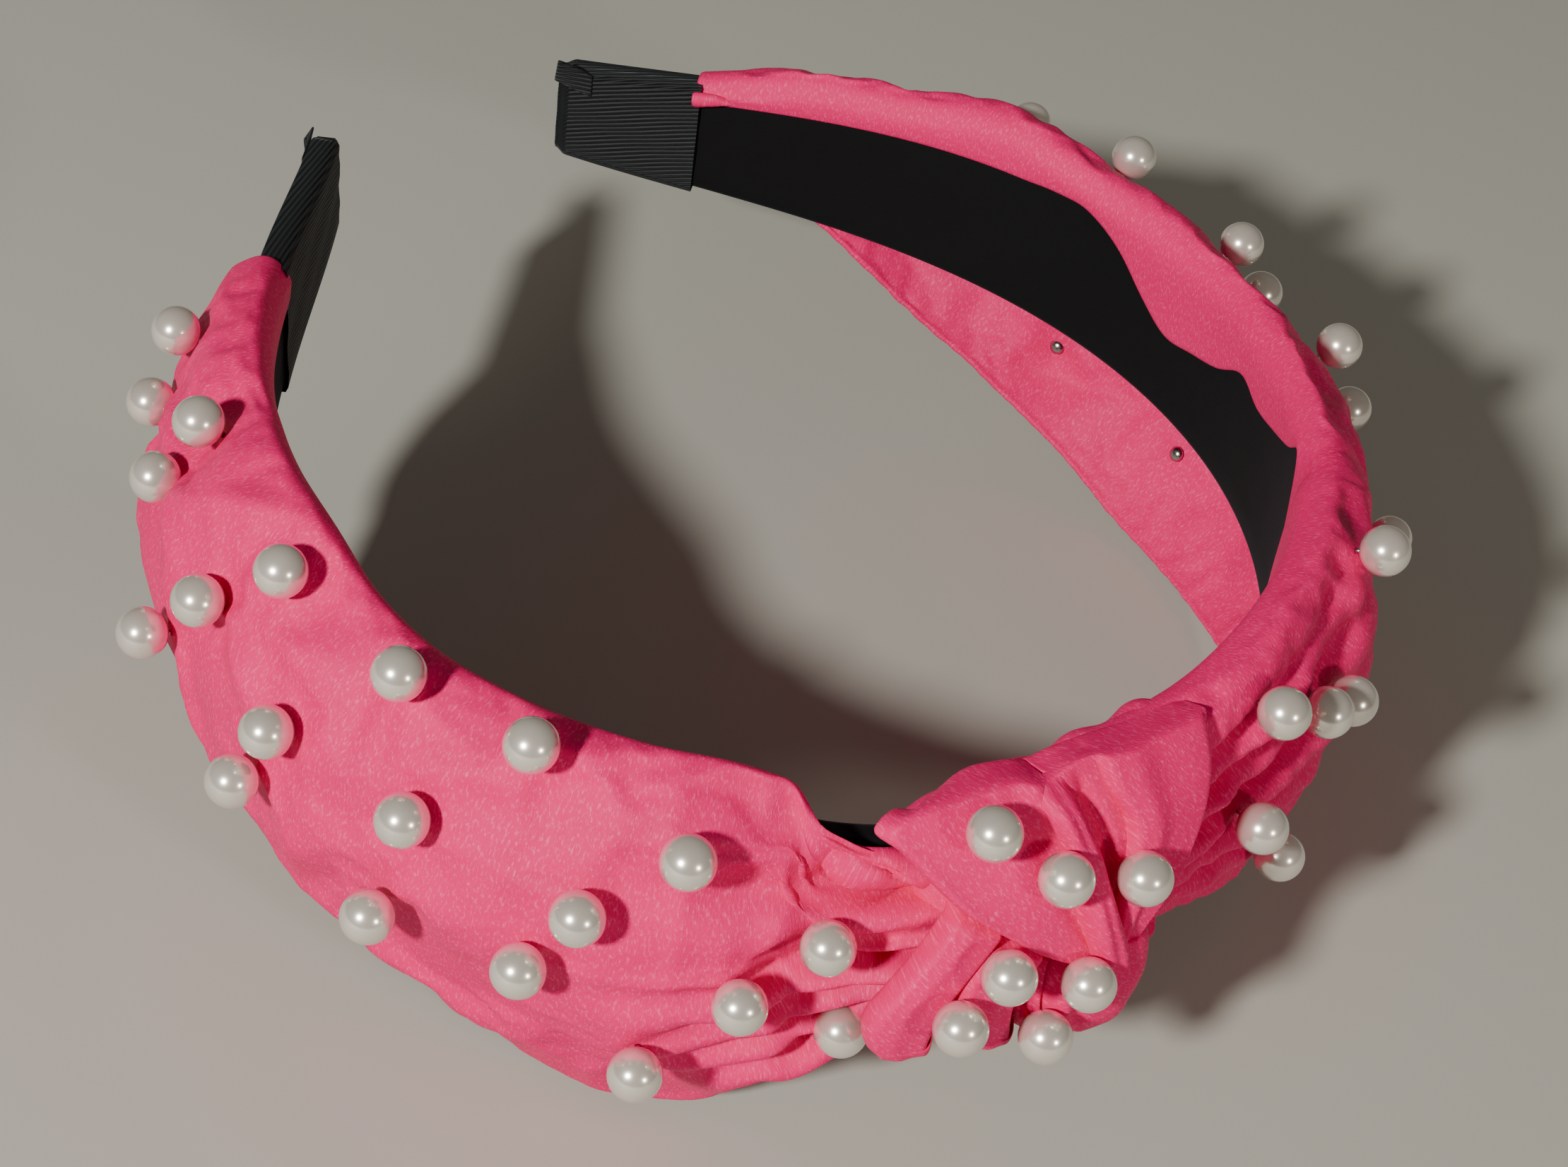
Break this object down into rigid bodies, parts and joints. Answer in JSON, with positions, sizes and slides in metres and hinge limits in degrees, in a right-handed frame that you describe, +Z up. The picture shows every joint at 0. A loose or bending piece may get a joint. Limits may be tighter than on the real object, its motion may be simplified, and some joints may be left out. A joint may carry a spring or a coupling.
{
  "type": "headband",
  "caption": "Knotted wide headband in pink satin with pearl studs, black lining and ribbon-wrapped ends.",
  "frame": {"origin": "middle of the underside of the object's box, on the surface the band lies on", "axes": "+Z up from the lower hem to the upper edge, -Y from the head space out through the knot, arms run towards +Y"},
  "size_m": [0.165, 0.1616, 0.0595],
  "materials": {
    "satin": "hot-pink satin-back crepe with a fine slub",
    "lining": "black satin lining with a short nap",
    "grosgrain": "black ribbed grosgrain ribbon",
    "core": "black moulded plastic strip",
    "pearl": "ivory imitation pearl on a steel rivet"
  },
  "bodies": {
    "crown": {"core_crown": "core", "knot_front_wrap": "satin", "knot_lower_loop": "satin", "knot_lower_strap": "satin", "knot_right_wrap": "satin", "lining_crown": "lining", "pearl_knot_01": "pearl", "pearl_knot_02": "pearl", "pearl_knot_03": "pearl", "pearl_knot_04": "pearl", "pearl_knot_05": "pearl", "pearl_knot_06": "pearl", "pearl_knot_07": "pearl"},
    "left_arm": {"core_left": "core", "cover_left": "satin", "end_wrap_left": "grosgrain", "lining_left": "lining", "pearl_left_01": "pearl", "pearl_left_02": "pearl", "pearl_left_03": "pearl", "pearl_left_04": "pearl", "pearl_left_05": "pearl", "pearl_left_06": "pearl", "pearl_left_07": "pearl", "pearl_left_08": "pearl", "pearl_left_09": "pearl", "pearl_left_10": "pearl", "pearl_left_11": "pearl", "pearl_left_12": "pearl", "pearl_left_13": "pearl", "pearl_left_14": "pearl", "pearl_left_15": "pearl", "pearl_left_16": "pearl", "pearl_left_17": "pearl", "pearl_left_18": "pearl", "pearl_left_19": "pearl", "pearl_left_20": "pearl"},
    "right_arm": {"core_right": "core", "cover_right": "satin", "end_wrap_right": "grosgrain", "lining_right": "lining", "pearl_right_01": "pearl", "pearl_right_02": "pearl", "pearl_right_03": "pearl", "pearl_right_04": "pearl", "pearl_right_05": "pearl", "pearl_right_06": "pearl", "pearl_right_07": "pearl", "pearl_right_08": "pearl", "pearl_right_09": "pearl", "pearl_right_10": "pearl", "pearl_right_11": "pearl", "pearl_right_12": "pearl", "pearl_right_13": "pearl", "pearl_right_14": "pearl", "pearl_right_15": "pearl", "pearl_right_16": "pearl"}
  },
  "joints": [
    {"name": "left_flex", "type": "hinge", "parent": "crown", "child": "left_arm", "pos_m": [-0.02856, -0.05614, 0.0405], "axis": [0, 0, 1], "range_deg": [-6, 12], "stiffness_Nm_per_rad": 1.2},
    {"name": "right_flex", "type": "hinge", "parent": "crown", "child": "right_arm", "pos_m": [0.00831, -0.06261, 0.0405], "axis": [0, 0, -1], "range_deg": [-6, 12], "stiffness_Nm_per_rad": 1.2}
  ]
}
